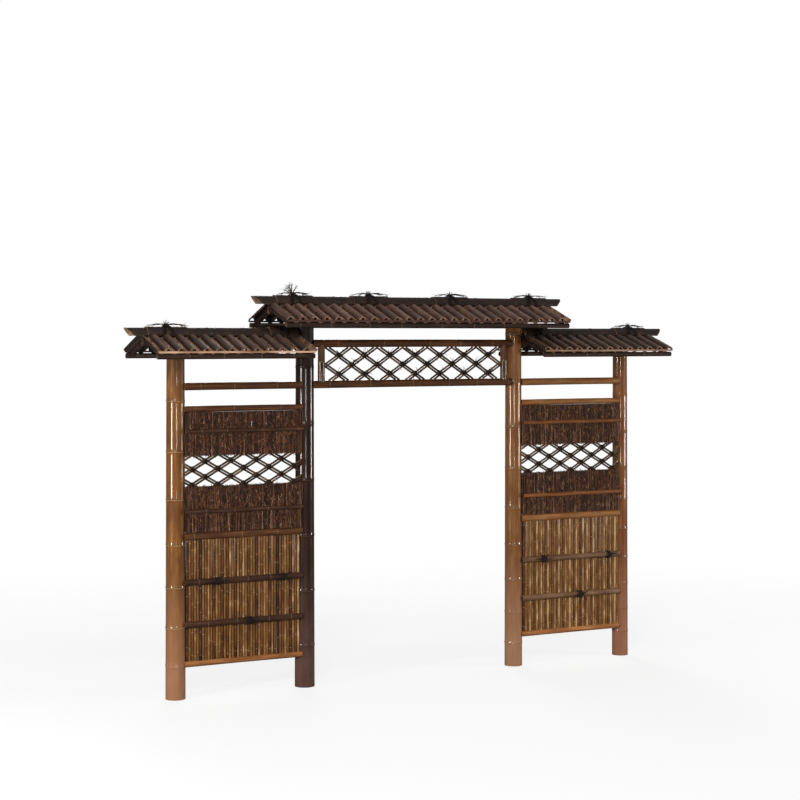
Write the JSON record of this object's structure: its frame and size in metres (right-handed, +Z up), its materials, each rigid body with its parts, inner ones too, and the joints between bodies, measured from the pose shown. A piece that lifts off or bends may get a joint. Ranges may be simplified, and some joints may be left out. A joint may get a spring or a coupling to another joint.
{
  "type": "bamboo gate",
  "caption": "Roofed bamboo garden gate with an open passage under a lattice lintel, two brush and reed fence wings, and ridged half-culm tile roofs.",
  "frame": {"origin": "centre of the left inner post's foot face, on the ground", "axes": "+X along the gate from the left wing to the right wing, +Y from the front to the back, +Z up"},
  "size_m": [3.814, 0.6168, 2.5012],
  "materials": {
    "culm_golden": "varnished golden brown bamboo",
    "culm_dark": "varnished dark brown bamboo",
    "culm_tan": "varnished tan bamboo",
    "culm_red": "varnished reddish bamboo",
    "pole_brown": "varnished mid brown bamboo",
    "pole_tan": "varnished tan bamboo",
    "pole_orange": "varnished orange brown bamboo",
    "split_pole_dark": "dark stained split bamboo",
    "brush": "dry dark bamboo twigs",
    "lattice_stick": "thin bamboo sticks, dark with pale streaks",
    "reed": "thin reeds, golden to dark brown",
    "lintel_pole": "varnished brown bamboo",
    "roof_pole": "dark weathered bamboo",
    "tile": "weathered purplish brown half culm",
    "tile_red": "weathered reddish brown half culm",
    "ridge_half_culm": "weathered dark half culm",
    "split_lath": "pale split bamboo",
    "palm_rope": "black palm fibre rope"
  },
  "bodies": {
    "root": {"left_outer_post": "culm_golden", "left_inner_post": "culm_dark", "right_inner_post": "culm_tan", "right_outer_post": "culm_red", "left_open_rail": "pole_brown", "left_head_rail": "pole_brown", "left_waist_rail": "pole_brown", "right_open_rail": "pole_tan", "right_head_rail": "pole_tan", "right_waist_rail": "pole_tan", "left_bottom_rail": "pole_orange", "right_bottom_rail": "pole_orange", "left_brush_rails": "split_pole_dark", "left_battens": "split_pole_dark", "right_brush_rails": "split_pole_dark", "right_battens": "split_pole_dark", "left_upper_brush": "brush", "left_lower_brush": "brush", "right_upper_brush": "brush", "right_lower_brush": "brush", "left_lattice": "lattice_stick", "right_lattice": "lattice_stick", "lintel_lattice": "lattice_stick", "left_reed_panel": "reed", "right_reed_panel": "reed", "lintel_upper_rail": "lintel_pole", "lintel_lower_rail": "lintel_pole", "lintel_stiles": "lintel_pole", "left_roof_frame": "roof_pole", "middle_roof_frame": "roof_pole", "right_roof_frame": "roof_pole", "left_front_tiles": "tile", "left_back_tiles": "tile", "right_front_tiles": "tile", "right_back_tiles": "tile", "middle_front_tiles": "tile_red", "middle_back_tiles": "tile_red", "left_ridge_cap": "ridge_half_culm", "middle_ridge_cap": "ridge_half_culm", "right_ridge_cap": "ridge_half_culm", "ridge_saddles": "ridge_half_culm", "eave_laths": "split_lath", "left_batten_ties": "palm_rope", "right_batten_ties": "palm_rope", "ridge_ropes": "palm_rope"}
  },
  "joints": []
}
